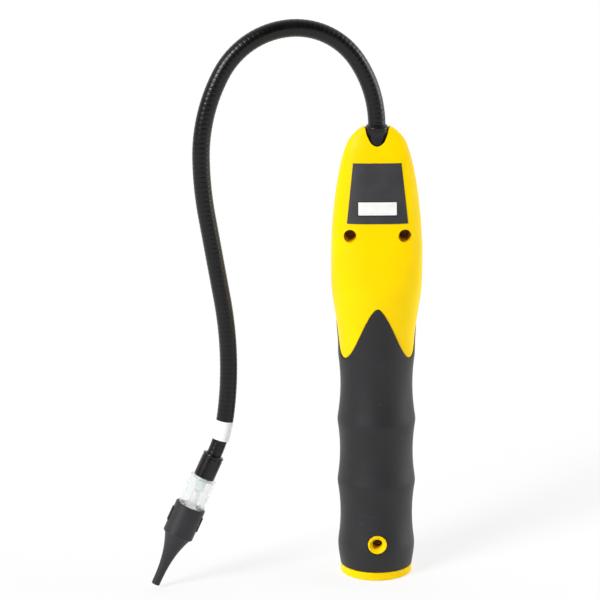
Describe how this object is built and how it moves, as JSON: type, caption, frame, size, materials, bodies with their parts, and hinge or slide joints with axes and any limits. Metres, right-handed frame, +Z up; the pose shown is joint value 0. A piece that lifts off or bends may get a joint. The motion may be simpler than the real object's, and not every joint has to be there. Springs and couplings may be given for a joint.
{
  "type": "refrigerant leak detector",
  "caption": "Handheld refrigerant leak detector with a yellow housing, ribbed rubber grip, bendable gooseneck probe and a clear sensor holder with a pull-off nozzle.",
  "frame": {"origin": "centre of the flat underside of the base cap, where the detector stands", "axes": "+Z up along the handle; -Y is the rear face with the plate and screw wells; +Y is the front face with the keys; the gooseneck bends over towards -X"},
  "size_m": [0.149, 0.0555, 0.3089],
  "materials": {
    "yellow_abs": "satin moulded ABS",
    "grip_rubber": "matte overmoulded rubber",
    "screw_steel": "zinc-plated steel",
    "plate_film": "printed film, left bare",
    "field_film": "blank writing field",
    "black_plastic": "moulded nylon",
    "neck_jacket": "glossy ribbed PVC jacket over a spring-steel gooseneck",
    "white_band": "white sleeve",
    "clear_plastic": "clear moulded polycarbonate",
    "stem_plastic": "pale translucent plastic",
    "sensor_glass": "glass bead",
    "sensor_white": "white moulded plastic",
    "sensor_metal": "bright pins",
    "nozzle_plastic": "moulded plastic",
    "board_laminate": "glass-epoxy laminate",
    "key_rubber": "silicone keys",
    "switch_metal": "tactile switches",
    "lamp_plastic": "tinted lamp lenses",
    "sounder_plastic": "sounder case",
    "cell_can": null,
    "spring_steel": "nickel-plated spring wire",
    "contact_brass": "contact strip",
    "bulkhead_plastic": "natural ABS",
    "lead_jacket": "insulated wire"
  },
  "bodies": {
    "detector": {"rear_housing": "yellow_abs", "front_housing": "yellow_abs", "base_cap": "yellow_abs", "grip_sleeve": "grip_rubber", "case_screws": "screw_steel", "cap_screw": "screw_steel", "rear_plate": "plate_film", "plate_field": "field_film", "neck_collar": "black_plastic", "gooseneck_1": "neck_jacket", "circuit_board": "board_laminate", "dome_switches": "switch_metal", "indicator_lamps": "lamp_plastic", "sounder": "sounder_plastic", "cell_lower": "cell_can", "cell_upper": "cell_can", "battery_spring": "spring_steel", "return_strip": "contact_brass", "battery_contact": "contact_brass", "battery_bulkhead": "bulkhead_plastic", "battery_leads": "lead_jacket", "sensor_lead": "lead_jacket"},
    "neck_2": {"gooseneck_2": "neck_jacket"},
    "neck_3": {"gooseneck_3": "neck_jacket"},
    "neck_4": {"gooseneck_4": "neck_jacket"},
    "neck_5": {"gooseneck_5": "neck_jacket"},
    "neck_6": {"gooseneck_6": "neck_jacket"},
    "probe": {"gooseneck_7": "neck_jacket", "neck_band": "white_band", "probe_ferrule": "black_plastic", "sensor_holder": "clear_plastic", "sensor_stem": "stem_plastic", "sensor_bulb": "sensor_glass", "sensor_base": "sensor_white", "sensor_pins": "sensor_metal"},
    "nozzle": {"nozzle": "nozzle_plastic"},
    "power_key": {"key_power": "key_rubber"},
    "up_key": {"key_up": "key_rubber"},
    "down_key": {"key_down": "key_rubber"}
  },
  "joints": [
    {"name": "neck_bend_1", "type": "hinge", "parent": "detector", "child": "neck_2", "pos_m": [-0.00517, -0.00119, 0.27586], "axis": [-0.225, 0.9744, 0], "range_deg": [-2, 30]},
    {"name": "neck_bend_2", "type": "hinge", "parent": "neck_2", "child": "neck_3", "pos_m": [-0.0438, -0.01011, 0.30419], "axis": [-0.225, 0.9744, 0], "range_deg": [-2, 30]},
    {"name": "neck_bend_3", "type": "hinge", "parent": "neck_3", "child": "neck_4", "pos_m": [-0.08411, -0.01942, 0.27789], "axis": [-0.225, 0.9744, 0], "range_deg": [-2, 30]},
    {"name": "neck_bend_4", "type": "hinge", "parent": "neck_4", "child": "neck_5", "pos_m": [-0.09342, -0.02157, 0.22768], "axis": [-0.225, 0.9744, 0], "range_deg": [-3, 30]},
    {"name": "neck_bend_5", "type": "hinge", "parent": "neck_5", "child": "neck_6", "pos_m": [-0.08628, -0.01992, 0.17648], "axis": [-0.225, 0.9744, 0], "range_deg": [-5, 30]},
    {"name": "neck_bend_6", "type": "hinge", "parent": "neck_6", "child": "probe", "pos_m": [-0.08066, -0.01862, 0.12512], "axis": [-0.225, 0.9744, 0], "range_deg": [-10, 30]},
    {"name": "nozzle_pull", "type": "slide", "parent": "probe", "child": "nozzle", "axis": [-0.4164, -0.0961, -0.9041], "range_m": [0, 0.012]},
    {"name": "power_press", "type": "slide", "parent": "detector", "child": "power_key", "axis": [0, -0.9806, -0.1959], "range_m": [0, 0.0007], "stiffness_N_per_m": 600, "springref_m": -0.0005},
    {"name": "up_press", "type": "slide", "parent": "detector", "child": "up_key", "axis": [0, -0.9806, -0.1959], "range_m": [0, 0.0007], "stiffness_N_per_m": 600, "springref_m": -0.0005},
    {"name": "down_press", "type": "slide", "parent": "detector", "child": "down_key", "axis": [0, -0.9806, -0.1959], "range_m": [0, 0.0007], "stiffness_N_per_m": 600, "springref_m": -0.0005}
  ]
}
